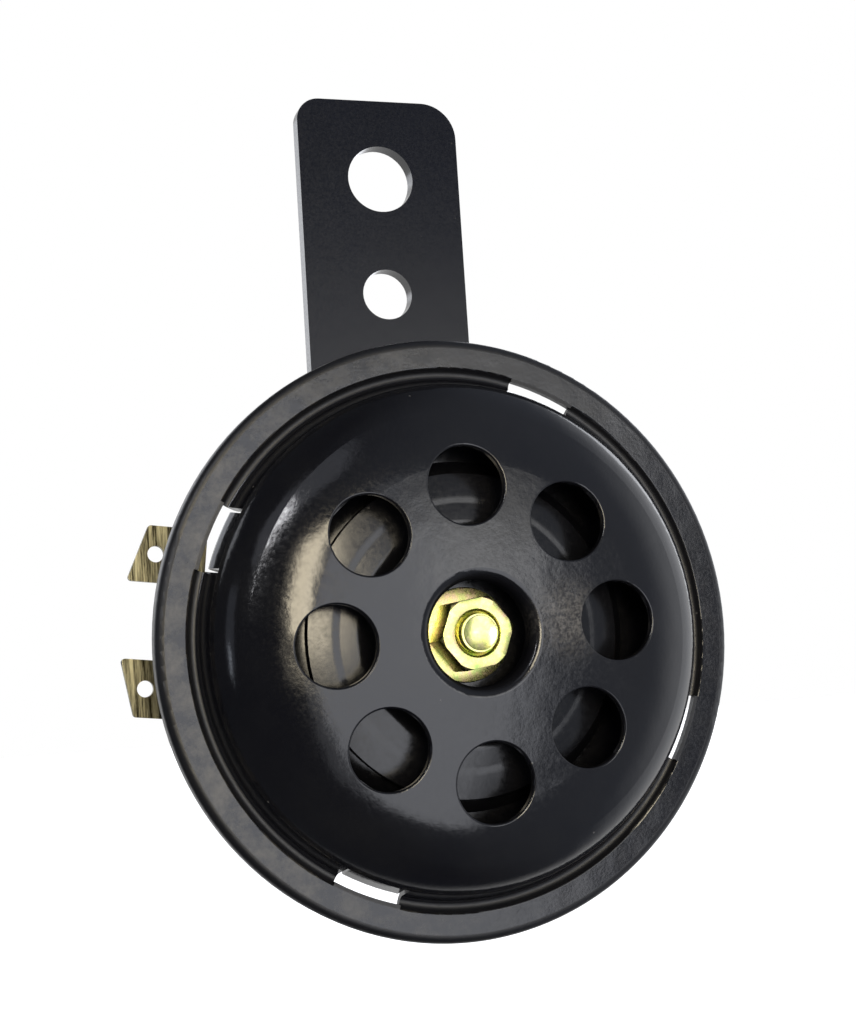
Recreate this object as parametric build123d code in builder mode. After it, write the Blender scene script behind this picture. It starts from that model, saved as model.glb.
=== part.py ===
from build123d import *
import math
import os

os.makedirs("parts", exist_ok=True)

# Mounting strip. The frame's origin is the centre of its upper hole, on its rear face,
# +Z up along the strip, and the horn faces -Y.
strip_width = 19.7
strip_thickness = 2.0
upper_hole = 4.0
lower_hole = 3.0
hole_spacing = 14.05
strip_above_hole = 9.6
axis_drop = 55.2
left_corner = 2.75
right_corner = 4.25
strip_bolt_hole = 3.25

# Front dish, drawn from sheet. Heights are measured forward from the face of its rim.
dish_sheet = 0.8
rim_radius = 32.0
rim_lip = 2.2
rim_round = 0.9
flange_width = 3.25
flange_edge_round = 0.25
groove_round = 0.65
wall_lean = 18.0
shoulder_width = 9.95
shoulder_round = 6.5
blend_round = 16.0
dome_height = 8.0
crown_radius = 234.0
throat_radius = 5.5
throat_round = 1.1
throat_depth = 2.3
sound_holes = 8
hole_margin = 2.3
hole_share = 0.71
sound_turn = 1.95
hole_edge = 0.2

# Four lanced tabs that fold in behind the housing's rim
tab_count = 4
tab_turn = 66.0
slot_half_angle = 7.5
slit_width = 0.5
slit_top = 2.0
land_width = 3.55
tab_reach = 2.4
tab_set = 0.1
tab_round = 1.0

# Housing, a stepped can with its rim rolled over the diaphragm
can_sheet = 0.8
housing_depth = 17.2
rim_fit = 0.35
rim_gap = 1.0
roll_round = 0.9
rim_overhang = 0.9
can_step = 3.15
can_neck_round = 0.6
shelf_depth = 11.6
shelf_round = 1.5
cup_share = 0.604
cup_neck_round = 0.8
cup_round = 1.5

# Diaphragm and its gaskets
diaphragm_thickness = 0.3
gasket_thickness = 0.45
gasket_width = 2.2
edge_fit = 0.1
bead_half_width = 2.6
bead_height = 0.6

# Vibrating centre
stud_radius = 2.0
stud_beyond_front = 0.9
stud_root = 4.9
stud_chamfer = 0.25
fit = 0.03
bush_radius = 4.0
armature_share = 0.37
armature_chamfer = 0.35
armature_plate = 2.5
slug_radius = 5.5
slug_length = 5.4
bush_length = 0.4
tone_sheet = 0.8
tone_hub = 6.2
tone_margin = 0.4
tone_ridge_share = 0.784
tone_ridge_rise = 1.2
tone_groove_share = 0.842
tone_groove_rise = 0.85
tone_rim_share = 0.918
tone_rim_rise = 1.4
nut_flats = 7.1
nut_turn = 9.0
nut_height = 4.3
nut_bevel = 0.3
nut_flange_radius = 5.0
nut_flange_edge = 0.9
nut_flange_rise = 0.7
nut_countersink = 2.4

# Magnet: core, bobbin and winding
air_gap = 0.6
core_radius = 5.5
core_stud_radius = 3.0
core_stud_chamfer = 0.5
bobbin_bore = 6.0
bobbin_wall = 1.0
bobbin_flange = 0.8
bobbin_fit = 1.6
bobbin_front = 5.0
winding_inset = 0.8
winding_fit = 0.03

# Fixing at the back: spring washer and hexagon nut on the core's stud
washer_thickness = 1.6
washer_radius = 5.5
washer_slit = 0.8
back_nut_flats = 10.0
back_nut_height = 5.0
stud_beyond_nut = 1.2

# Terminals on a laminate board behind the shelf
terminal_angle = 173.0
board_thickness = 1.5
board_length = 6.6
board_half_width = 8.0
board_corner = 1.0
terminal_sheet = 0.8
terminal_pad_start = 2.4
terminal_pad_width = 5.7
terminal_neck_width = 2.9
rivet_offset = 4.35
rivet_shank = 1.25
rivet_head = 1.8
rivet_head_height = 0.7
shelf_terminal_hole = 2.1
blade_width = 6.2
blade_offset = 7.3
blade_length = 8.4
blade_beyond_rim = 1.5
blade_tip_cut = 1.9
blade_tip_round = 0.4
blade_hole = 0.9
blade_hole_back = 2.9
inner_plate_thickness = 0.8

# Contact breaker beside the coil
breaker_angle = 260.0
breaker_sheet = 1.0
breaker_share = 0.517
breaker_half_width = 4.0
breaker_platform = 4.5
breaker_bend = 0.8
plate_insulator = 0.5
middle_insulator = 1.2
insulator_width = 6.0
insulator_hub = 1.5
leaf_thickness = 0.25
leaf_width = 4.0
arm_overhang = 1.3
fixed_arm_thickness = 0.8
fixed_arm_width = 5.0
contact_radius = 1.2
contact_shank = 0.6
contact_tail = 0.9
contact_tail_height = 0.4
contact_split = 0.5
button_inset = 1.1
button_radius = 1.1
button_gap = 0.65
breaker_rivet = 0.95
breaker_rivet_head = 1.8
breaker_rivet_height = 0.7

# Adjusting screw through the shelf, with its lock nut
screw_across = 6.7
screw_inset = 0.7
screw_radius = 1.5
screw_rear = 16.6
screw_slot = 0.6
screw_slot_depth = 0.9
screw_pad = 1.8
lock_nut_flats = 5.5
lock_nut_height = 1.8
lock_nut_chamfer = 0.25

# How far a cutting shape reaches past what it cuts
cut_margin = 0.4

# Radii of the dish that follow from its rim, and the flare of its leaning wall
lean = math.radians(wall_lean)
step_radius = rim_radius - flange_width
groove_middle = step_radius - groove_round
face_radius = groove_middle - groove_round - shoulder_width
sound_circle = face_radius - hole_margin
sound_hole = hole_share * sound_circle * math.sin(math.pi / sound_holes)
wall_reach = groove_middle * math.cos(lean) - groove_round

# Centres of the dome's arcs: a shallow crown, a blend and a shoulder that runs into the wall
crown_centre = dome_height - crown_radius
blend_turn = math.asin(face_radius / crown_radius)
blend_axis = (crown_radius - blend_round) * math.sin(blend_turn)
blend_centre = crown_centre + (crown_radius - blend_round) * math.cos(blend_turn)
arc_offset = blend_round - shoulder_round
wall_gap = wall_reach - shoulder_round - blend_axis * math.cos(lean) - blend_centre * math.sin(lean)
shoulder_turn = math.asin(wall_gap / arc_offset) - lean
shoulder_axis = blend_axis + arc_offset * math.sin(shoulder_turn)
shoulder_centre = blend_centre + arc_offset * math.cos(shoulder_turn)

# Radii of the housing, inside the dish, and of what it holds
housing_rim = shoulder_axis + (shoulder_round - dish_sheet) * math.cos(lean) - rim_fit
can_radius = housing_rim - can_step
lip_radius = can_radius + rim_overhang
cup_radius = cup_share * can_radius
shelf_middle = (cup_radius + can_radius) / 2
stack_radius = housing_rim - can_sheet - edge_fit
armature_radius = armature_share * stack_radius
bead_radius = (armature_radius + stack_radius - gasket_width) / 2
tone_radius = face_radius - tone_margin
bobbin_radius = cup_radius - bobbin_fit
winding_radius = bobbin_radius - winding_inset

# Heights that follow from the stack, forward of the rim's face
base_rear = -housing_depth
base_front = base_rear + can_sheet
shelf_rear = -shelf_depth
shelf_front = shelf_rear + can_sheet
roll_reach = shoulder_round - dish_sheet - roll_round
roll_height = shoulder_centre + math.sqrt(roll_reach**2 - (housing_rim - roll_round - shoulder_axis) ** 2)
lip_front = roll_height + roll_round - rim_gap
lip_rear = lip_front - can_sheet
diaphragm_front = lip_rear - gasket_thickness
diaphragm_rear = diaphragm_front - diaphragm_thickness
flange_front = diaphragm_rear - gasket_thickness
flange_rear = flange_front - can_sheet
tone_rear = diaphragm_front + bush_length
tone_seat = tone_rear + tone_sheet
nut_top = tone_seat + nut_height
stud_tip = nut_top + stud_beyond_front
plate_rear = diaphragm_rear - armature_plate
slug_rear = plate_rear - slug_length
core_front = slug_rear - air_gap
strip_rear = base_rear - strip_thickness
washer_rear = strip_rear - washer_thickness
back_nut_rear = washer_rear - back_nut_height
board_rear = shelf_rear - board_thickness
terminal_rear = board_rear - terminal_sheet

# Places of the terminals and the breaker along their own directions
rivet_along = shelf_middle - 0.25
board_inner = rivet_along - board_length / 2 + 0.5
board_outer = board_inner + board_length
blade_tip = rim_radius + blade_beyond_rim
blade_foot = blade_tip - blade_length
blade_hole_along = blade_tip - blade_hole_back
breaker_radius = shelf_middle - 0.35
breaker_depth = breaker_share * (can_radius - cup_radius)
breaker_inner = breaker_radius - breaker_depth / 2
breaker_outer = breaker_radius + breaker_depth / 2
button_along = armature_radius - button_inset
contact_along = (button_along + breaker_inner) / 2
screw_along = breaker_radius - screw_inset

# Working planes: the rim's face seen from the front, and sections through the axis
face = Plane(origin=(0, strip_rear, -axis_drop), x_dir=(1, 0, 0), z_dir=(0, -1, 0))
axle = Axis(face.origin, (0, -1, 0))


def section_at(angle):
    """The half plane through the axis at an angle: x is the radius, y the height forward."""
    turn = math.radians(angle)
    return Plane(
        origin=face.origin,
        x_dir=(math.cos(turn), 0, math.sin(turn)),
        z_dir=(math.sin(turn), 0, -math.cos(turn)),
    )


def face_at(angle):
    """The rim's face turned so that x runs out from the axis at an angle."""
    turn = math.radians(angle)
    return Plane(
        origin=face.origin,
        x_dir=(math.cos(turn), 0, math.sin(turn)),
        z_dir=(0, -1, 0),
    )


# The seam of each turned form lies between two sound holes
section = section_at(sound_turn + 180 / sound_holes)
terminal_plane = face_at(terminal_angle)
breaker_plane = face_at(breaker_angle)


def turned(*points):
    """A closed outline of (radius, height) points, ready to be revolved."""
    with BuildSketch(section) as profile:
        with BuildLine():
            Polyline(*points, close=True)
        make_face()
    return profile.sketch


def band(inner, outer, rear, front, plane=section):
    """A rectangle in a section, from one radius to another and one height to another."""
    with BuildSketch(plane) as profile:
        with Locations(((inner + outer) / 2, (rear + front) / 2)):
            Rectangle(outer - inner, front - rear)
    return profile.sketch


def ring_plate(plane, outer, bore):
    """A flat ring drawn on a plane across the axis."""
    with BuildSketch(plane) as flat:
        Circle(outer)
        Circle(bore, mode=Mode.SUBTRACT)
    return flat.sketch


def plate(plane, left, right, low, high, corner=0.0):
    """A rectangle on a plane, by its edges, with rounded corners if asked."""
    with BuildSketch(plane) as flat:
        with Locations(((left + right) / 2, (low + high) / 2)):
            if corner > 0:
                RectangleRounded(right - left, high - low, corner)
            else:
                Rectangle(right - left, high - low)
    return flat.sketch


def spot(plane, x, y, radius):
    """A disc on a plane."""
    with BuildSketch(plane) as flat:
        with Locations((x, y)):
            Circle(radius)
    return flat.sketch


def corners_at(line, x, y):
    """The corner of an outline that lies at a point."""
    return [v for v in line.vertices() if math.hypot(v.X - x, v.Y - y) < 1e-4]


def dome_at(radius, inset=0.0):
    """Height of the dome's crown or blend at a radius, or of a surface inset from it."""
    if radius < (crown_radius - inset) * math.sin(blend_turn):
        return crown_centre + math.sqrt((crown_radius - inset) ** 2 - radius**2)
    return blend_centre + math.sqrt((blend_round - inset) ** 2 - (radius - blend_axis) ** 2)


def on_circle(across, centre, radius, turn):
    """The point of a circle in a section at an angle away from straight forward."""
    return (across + radius * math.sin(turn), centre + radius * math.cos(turn))


def wall_at(height, inset=0.0):
    """Radius of the dome's leaning wall at a height, or of a surface inset from it."""
    return (wall_reach - inset - height * math.sin(lean)) / math.cos(lean)


def dish_form(inset):
    """Everything behind the dish's front surface, or behind a surface inset from it."""
    throat = throat_radius + inset
    throat_top = dome_at(throat, inset)
    rim = rim_radius - inset
    groove = groove_round + inset
    step = groove_middle + math.sqrt(groove**2 - inset**2)
    crown = (0, crown_centre, crown_radius - inset)
    blend = (blend_axis, blend_centre, blend_round - inset)
    shoulder = (shoulder_axis, shoulder_centre, shoulder_round - inset)
    wall_turn = math.pi / 2 - lean
    with BuildSketch(section) as profile:
        with BuildLine() as outline:
            face_end = on_circle(*crown, blend_turn)
            blend_end = on_circle(*blend, shoulder_turn)
            shoulder_end = on_circle(*shoulder, wall_turn)
            wall_foot = on_circle(groove_middle, 0, -groove, wall_turn)
            face_half = on_circle(*crown, blend_turn / 2)
            blend_half = on_circle(*blend, (blend_turn + shoulder_turn) / 2)
            shoulder_half = on_circle(*shoulder, (shoulder_turn + wall_turn) / 2)
            ThreePointArc((throat, throat_top), face_half, face_end)
            ThreePointArc(face_end, blend_half, blend_end)
            ThreePointArc(blend_end, shoulder_half, shoulder_end)
            Line(shoulder_end, wall_foot)
            ThreePointArc(wall_foot, (groove_middle, -groove), (step, -inset))
            Polyline(
                (step, -inset), (rim, -inset), (rim, -rim_lip), (throat, -rim_lip), (throat, throat_top),
            )
            if throat_round > inset:
                fillet(corners_at(outline, throat, throat_top), throat_round - inset)
            if flange_edge_round > inset:
                fillet(corners_at(outline, step, -inset), flange_edge_round - inset)
            if rim_round > inset:
                fillet(corners_at(outline, rim, -inset), rim_round - inset)
        make_face()
    return profile.sketch


def around_hole(edge):
    """Whether an edge lies on the dish's front surface, around a sound hole."""
    middle = face.to_local_coords(edge @ 0.5)
    radius = math.hypot(middle.X, middle.Y)
    pitch = 2 * math.pi / sound_holes
    turn = math.atan2(middle.Y, middle.X) - math.radians(sound_turn)
    aside = turn - pitch * round(turn / pitch)
    reach = math.hypot(radius * math.cos(aside) - sound_circle, radius * math.sin(aside))
    if abs(reach - sound_hole) > hole_edge / 2:
        return False
    return abs(middle.Z - dome_at(radius)) < dish_sheet / 4


# Front dish: dome, sound holes, throat, groove, flat rim and lip, with four lanced tabs
slit_angle = math.degrees(slit_width / step_radius)
tab_half_angle = slot_half_angle - slit_angle
slot_arc = 2 * slot_half_angle
slot_inner = wall_at(slit_top, dish_sheet) - cut_margin
slot_outer = groove_middle + groove_round + dish_sheet
land_radius = rim_radius - land_width
throat_rear = dome_at(throat_radius) - throat_depth
tab_rear = flange_rear - dish_sheet
tab_end = housing_rim - tab_reach
tab_top = slit_top + tab_set
with BuildPart() as front_dish:
    revolve(dish_form(0), axis=axle)
    revolve(dish_form(dish_sheet), axis=axle, mode=Mode.SUBTRACT)
    # The throat's turned-in collar ends a little way behind the crown
    collar_outer = throat_radius + dish_sheet + cut_margin
    collar = band(throat_radius - cut_margin, collar_outer, -rim_lip - cut_margin, throat_rear)
    revolve(collar, axis=axle, mode=Mode.SUBTRACT)
    with BuildSketch(face) as holes:
        with PolarLocations(sound_circle, sound_holes, start_angle=sound_turn):
            Circle(sound_hole)
    extrude(amount=dome_height + cut_margin, mode=Mode.SUBTRACT)
    fillet(front_dish.edges().filter_by(around_hole), hole_edge)
    for number in range(tab_count):
        middle = tab_turn + number * 360 / tab_count
        slot = section_at(middle - slot_half_angle)
        # The slot, through the wall, the groove and the step
        opening = band(slot_inner, slot_outer, -rim_lip, slit_top, slot)
        revolve(opening, axis=axle, revolution_arc=slot_arc, mode=Mode.SUBTRACT)
        # The rim's flat runs in to the slot
        land = band(land_radius, slot_outer + cut_margin / 2, -dish_sheet, 0, slot)
        revolve(land, axis=axle, revolution_arc=slot_arc)
        # The tab, a slit clear of the slot's ends, bent in behind the housing's flange
        with BuildSketch(section_at(middle - tab_half_angle)):
            with BuildLine() as bend:
                outer_foot = (wall_at(tab_rear) - tab_set, tab_rear)
                Polyline(
                    (wall_at(tab_top, dish_sheet) - tab_set, tab_top), (wall_at(tab_top) - tab_set, tab_top),
                    outer_foot, (tab_end, tab_rear), (tab_end, flange_rear),
                    (wall_at(flange_rear, dish_sheet) - tab_set, flange_rear), close=True,
                )
                fillet(corners_at(bend, *outer_foot), tab_round)
            make_face()
        revolve(axis=axle, revolution_arc=2 * tab_half_angle)
front_dish.part.label = "front_dish"
export_step(front_dish.part, "parts/front_dish.step")


# Housing: a stepped can whose rim is rolled in over the diaphragm
def can_form(inset):
    """Everything inside the can's outer surface, or inside a surface inset from it."""
    rim = housing_rim - inset
    body = can_radius - inset
    cup = cup_radius - inset
    front, neck, shelf, base = lip_front - inset, flange_rear + inset, shelf_rear + inset, base_rear + inset
    with BuildSketch(section) as profile:
        with BuildLine() as outline:
            Polyline(
                (0, front), (rim, front), (rim, neck), (body, neck), (body, shelf), (cup, shelf),
                (cup, base), (0, base), close=True,
            )
            if roll_round > inset:
                fillet(corners_at(outline, rim, front), roll_round - inset)
                fillet(corners_at(outline, rim, neck), roll_round - inset)
            fillet(corners_at(outline, body, neck), can_neck_round + inset)
            fillet(corners_at(outline, body, shelf), shelf_round - inset)
            fillet(corners_at(outline, cup, shelf), cup_neck_round + inset)
            fillet(corners_at(outline, cup, base), cup_round - inset)
        make_face()
    return profile.sketch


screw_place = (screw_along, screw_across)
with BuildPart() as housing:
    revolve(can_form(0), axis=axle)
    revolve(can_form(can_sheet), axis=axle, mode=Mode.SUBTRACT)
    mouth = spot(face.offset(lip_rear - cut_margin), 0, 0, lip_radius)
    extrude(mouth, amount=can_sheet + 2 * cut_margin, mode=Mode.SUBTRACT)
    stud_hole = spot(face.offset(base_rear), 0, 0, core_stud_radius + fit)
    extrude(stud_hole, amount=can_sheet, mode=Mode.SUBTRACT)
    for side in (-1, 1):
        hole = spot(terminal_plane.offset(shelf_rear), rivet_along, side * rivet_offset, shelf_terminal_hole)
        extrude(hole, amount=can_sheet, mode=Mode.SUBTRACT)
    screw_hole = spot(breaker_plane.offset(shelf_rear), *screw_place, screw_radius + fit)
    extrude(screw_hole, amount=can_sheet, mode=Mode.SUBTRACT)
housing.part.label = "housing"
export_step(housing.part, "parts/housing.step")

# Fibre gaskets on both sides of the diaphragm's edge
for name, rear in (("front_gasket", diaphragm_front), ("rear_gasket", flange_front)):
    with BuildPart() as gasket:
        ring = ring_plate(face.offset(rear), stack_radius, stack_radius - gasket_width)
        extrude(ring, amount=gasket_thickness)
    gasket.part.label = name
    export_step(gasket.part, "parts/" + name + ".step")

# Diaphragm: thin spring steel with one pressed bead
with BuildPart() as diaphragm:
    with BuildSketch(section):
        with BuildLine():
            bead_start = bead_radius - bead_half_width
            bead_end = bead_radius + bead_half_width
            rear, front = diaphragm_rear, diaphragm_front
            back = Line((stud_radius + fit, rear), (bead_start, rear))
            rise = ThreePointArc(back @ 1, (bead_radius, rear + bead_height), (bead_end, rear))
            edge = Polyline(rise @ 1, (stack_radius, rear), (stack_radius, front), (bead_end, front))
            crest = ThreePointArc(edge @ 1, (bead_radius, front + bead_height), (bead_start, front))
            Polyline(crest @ 1, (stud_radius + fit, front), back @ 0)
        make_face()
    revolve(axis=axle)
diaphragm.part.label = "diaphragm"
export_step(diaphragm.part, "parts/diaphragm.step")

# Armature: a turned steel plate with a slug that reaches into the coil
with BuildPart() as armature:
    stud_end = diaphragm_rear - stud_root
    revolve(
        turned(
            (stud_radius + fit, diaphragm_rear), (armature_radius, diaphragm_rear),
            (armature_radius, plate_rear), (slug_radius, plate_rear), (slug_radius, slug_rear),
            (0, slug_rear), (0, stud_end), (stud_radius + fit, stud_end),
        ),
        axis=axle,
    )
    plate_rims = armature.edges().filter_by(GeomType.CIRCLE).group_by(SortBy.RADIUS)[-1]
    chamfer(plate_rims, armature_chamfer)
armature.part.label = "armature"
export_step(armature.part, "parts/armature.step")

# Stud through the armature, diaphragm, bush and tone disc, chamfered at its tip
with BuildPart() as centre_stud:
    revolve(
        turned(
            (0, stud_end), (stud_radius, stud_end), (stud_radius, stud_tip - stud_chamfer),
            (stud_radius - stud_chamfer, stud_tip), (0, stud_tip),
        ),
        axis=axle,
    )
centre_stud.part.label = "centre_stud"
export_step(centre_stud.part, "parts/centre_stud.step")

# Bush that carries the tone disc clear of the diaphragm
with BuildPart() as spacer_bush:
    bush = ring_plate(face.offset(diaphragm_front), bush_radius, stud_radius + fit)
    extrude(bush, amount=bush_length)
spacer_bush.part.label = "spacer_bush"
export_step(spacer_bush.part, "parts/spacer_bush.step")

# Tone disc: a hub, a cone out to a ridge, a groove and a flat rim, all one pressing
with BuildPart() as tone_disc:
    ridge_radius = tone_ridge_share * tone_radius
    upper = (
        (stud_radius + fit, tone_seat), (tone_hub, tone_seat), ((tone_hub + ridge_radius) / 2, tone_seat),
        (ridge_radius, tone_seat + tone_ridge_rise),
        (tone_groove_share * tone_radius, tone_seat + tone_groove_rise),
        (tone_rim_share * tone_radius, tone_seat + tone_rim_rise), (tone_radius, tone_seat + tone_rim_rise),
    )
    lower = [(radius, height - tone_sheet) for radius, height in reversed(upper)]
    revolve(turned(*upper, *lower), axis=axle)
tone_disc.part.label = "tone_disc"
export_step(tone_disc.part, "parts/tone_disc.step")


def hexagon(plane, flats, turn=0.0):
    """A hexagon with two corners level with the plane's x, or turned from there."""
    with BuildSketch(plane) as flat:
        RegularPolygon(flats / 2, 6, major_radius=False, rotation=turn)
    return flat.sketch


# Flange nut: a coned flange, a hexagon bevelled at the top, and a countersunk bore
with BuildPart() as flange_nut:
    extrude(hexagon(face.offset(tone_seat), nut_flats, nut_turn), amount=nut_top - tone_seat)
    chamfer(flange_nut.faces().sort_by(Axis.Y)[0].edges(), nut_bevel)
    flange_lip = tone_seat + nut_flange_edge
    cone_top = flange_lip + nut_flange_rise
    revolve(
        turned(
            (0, tone_seat), (nut_flange_radius, tone_seat), (nut_flange_radius, flange_lip),
            (nut_flats / 2, cone_top), (0, cone_top),
        ),
        axis=axle,
    )
    nut_bore = stud_radius + fit
    sink_height = nut_top - (nut_countersink - nut_bore)
    revolve(
        turned(
            (0, tone_seat), (nut_bore, tone_seat), (nut_bore, sink_height), (nut_countersink, nut_top),
            (0, nut_top),
        ),
        axis=axle,
        mode=Mode.SUBTRACT,
    )
flange_nut.part.label = "flange_nut"
export_step(flange_nut.part, "parts/flange_nut.step")

# Core: a pole piece whose stud passes out through the base, the strip, the washer and the nut
core_stud_end = back_nut_rear - stud_beyond_nut
with BuildPart() as core:
    revolve(
        turned(
            (0, core_front), (core_radius, core_front), (core_radius, base_front),
            (core_stud_radius, base_front), (core_stud_radius, core_stud_end + core_stud_chamfer),
            (core_stud_radius - core_stud_chamfer, core_stud_end), (0, core_stud_end),
        ),
        axis=axle,
    )
core.part.label = "core"
export_step(core.part, "parts/core.step")

# Coil: a moulded bobbin and its winding
with BuildPart() as coil_bobbin:
    tube = bobbin_bore + bobbin_wall
    front = -bobbin_front
    revolve(
        turned(
            (bobbin_bore, base_front), (bobbin_radius, base_front),
            (bobbin_radius, base_front + bobbin_flange), (tube, base_front + bobbin_flange),
            (tube, front - bobbin_flange),
            (bobbin_radius, front - bobbin_flange), (bobbin_radius, front), (bobbin_bore, front),
        ),
        axis=axle,
    )
coil_bobbin.part.label = "coil_bobbin"
export_step(coil_bobbin.part, "parts/coil_bobbin.step")

with BuildPart() as coil_winding:
    coil_rear = base_front + bobbin_flange + winding_fit
    coil_front = -bobbin_front - bobbin_flange - winding_fit
    revolve(band(tube + winding_fit, winding_radius, coil_rear, coil_front), axis=axle)
coil_winding.part.label = "coil_winding"
export_step(coil_winding.part, "parts/coil_winding.step")

# Mounting strip: flat steel, round at the horn's end, with two holes above it
strip_top = axis_drop + strip_above_hole
half_strip = strip_width / 2
with BuildPart() as bracket:
    with BuildSketch(face.offset(strip_rear)):
        with BuildLine() as strip_line:
            Polyline((-half_strip, 0), (-half_strip, strip_top), (half_strip, strip_top), (half_strip, 0))
            fillet(corners_at(strip_line, -half_strip, strip_top), left_corner)
            fillet(corners_at(strip_line, half_strip, strip_top), right_corner)
            ThreePointArc((half_strip, 0), (0, -half_strip), (-half_strip, 0))
        make_face()
        with Locations((0, axis_drop)):
            Circle(upper_hole, mode=Mode.SUBTRACT)
        with Locations((0, axis_drop - hole_spacing)):
            Circle(lower_hole, mode=Mode.SUBTRACT)
        Circle(strip_bolt_hole, mode=Mode.SUBTRACT)
    extrude(amount=strip_thickness)
bracket.part.label = "bracket"
export_step(bracket.part, "parts/bracket.step")

# Spring washer, closed flat with its slit, and the nut behind it
with BuildPart() as bracket_spring_washer:
    ring = ring_plate(face.offset(washer_rear), washer_radius, core_stud_radius + fit)
    extrude(ring, amount=washer_thickness)
    slit_end = washer_radius + cut_margin
    slit = plate(face.offset(washer_rear), 0, slit_end, -washer_slit / 2, washer_slit / 2)
    extrude(slit, amount=washer_thickness, mode=Mode.SUBTRACT)
bracket_spring_washer.part.label = "bracket_spring_washer"
export_step(bracket_spring_washer.part, "parts/bracket_spring_washer.step")

back_corner = back_nut_flats / math.sqrt(3)
back_rise = (back_corner - back_nut_flats / 2) * math.tan(math.radians(30))
with BuildPart() as bracket_nut:
    extrude(hexagon(face.offset(back_nut_rear), back_nut_flats), amount=back_nut_height)
    back_limit = turned(
        (0, back_nut_rear), (back_nut_flats / 2, back_nut_rear), (back_corner, back_nut_rear + back_rise),
        (back_corner, washer_rear - back_rise), (back_nut_flats / 2, washer_rear), (0, washer_rear),
    )
    revolve(back_limit, axis=axle, mode=Mode.INTERSECT)
    nut_hole = spot(face.offset(back_nut_rear), 0, 0, core_stud_radius + fit)
    extrude(nut_hole, amount=back_nut_height, mode=Mode.SUBTRACT)
bracket_nut.part.label = "bracket_nut"
export_step(bracket_nut.part, "parts/bracket_nut.step")

# Laminate board behind the shelf, and an insulating plate inside it
shank_hole = rivet_shank + fit
with BuildPart() as terminal_board:
    board_plane = terminal_plane.offset(board_rear)
    half = board_half_width
    extrude(plate(board_plane, board_inner, board_outer, -half, half, board_corner), amount=board_thickness)
    for side in (-1, 1):
        hole = spot(board_plane, rivet_along, side * rivet_offset, shank_hole)
        extrude(hole, amount=board_thickness, mode=Mode.SUBTRACT)
terminal_board.part.label = "terminal_board"
export_step(terminal_board.part, "parts/terminal_board.step")

plate_front = shelf_front + inner_plate_thickness
plate_inner = cup_radius + cup_neck_round + cut_margin
with BuildPart() as terminal_insulator:
    inner_plane = terminal_plane.offset(shelf_front)
    half = board_half_width - board_corner
    outline = plate(inner_plane, plate_inner, rivet_along + rivet_head, -half, half, board_corner)
    extrude(outline, amount=inner_plate_thickness)
    for side in (-1, 1):
        hole = spot(inner_plane, rivet_along, side * rivet_offset, shank_hole)
        extrude(hole, amount=inner_plate_thickness, mode=Mode.SUBTRACT)
terminal_insulator.part.label = "terminal_insulator"
export_step(terminal_insulator.part, "parts/terminal_insulator.step")

# Spade terminals: a pad under the rivet, a neck, and a blade with a slanted tip and a hole
pad_inner = rivet_along - terminal_pad_start
for name, side in (("terminal_upper", -1), ("terminal_lower", 1)):
    with BuildPart() as terminal:
        with BuildSketch(terminal_plane.offset(terminal_rear)):
            pad_low = rivet_offset - terminal_pad_width / 2
            pad_high = rivet_offset + terminal_pad_width / 2
            neck_low = rivet_offset - terminal_neck_width / 2
            neck_high = rivet_offset + terminal_neck_width / 2
            blade_low = blade_offset - blade_width / 2
            blade_high = blade_offset + blade_width / 2
            tip_inner = (blade_tip, side * blade_low)
            tip_outer = (blade_tip - blade_tip_cut, side * blade_high)
            outline = (
                (blade_foot, blade_high), (blade_foot, neck_high), (board_outer, neck_high),
                (board_outer, pad_high), (pad_inner, pad_high), (pad_inner, pad_low),
                (board_outer, pad_low), (board_outer, neck_low), (blade_foot, neck_low),
                (blade_foot, blade_low),
            )
            with BuildLine() as edge:
                turns = [(along, side * across) for along, across in outline]
                Polyline(tip_outer, *turns, tip_inner, close=True)
                fillet(corners_at(edge, *tip_inner), blade_tip_round)
                fillet(corners_at(edge, *tip_outer), blade_tip_round)
            make_face()
            with Locations((rivet_along, side * rivet_offset)):
                Circle(shank_hole, mode=Mode.SUBTRACT)
            with Locations((blade_hole_along, side * blade_offset)):
                Circle(blade_hole, mode=Mode.SUBTRACT)
        extrude(amount=terminal_sheet)
    terminal.part.label = name
    export_step(terminal.part, "parts/" + name + ".step")

# Rivets through terminal, board, shelf and inner plate
for name, side in (("terminal_rivet_upper", -1), ("terminal_rivet_lower", 1)):
    with BuildPart() as rivet:
        place = (rivet_along, side * rivet_offset)
        shank = spot(terminal_plane.offset(terminal_rear), *place, rivet_shank)
        extrude(shank, amount=plate_front - terminal_rear)
        head = spot(terminal_plane.offset(terminal_rear), *place, rivet_head)
        extrude(head, amount=-rivet_head_height)
        head = spot(terminal_plane.offset(plate_front), *place, rivet_head)
        extrude(head, amount=rivet_head_height)
        head_rims = rivet.edges().filter_by(GeomType.CIRCLE).group_by(SortBy.RADIUS)[-1].sort_by(Axis.Y)
        fillet([head_rims[0], head_rims[-1]], rivet_head_height / 2)
    rivet.part.label = name
    export_step(rivet.part, "parts/" + name + ".step")

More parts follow.
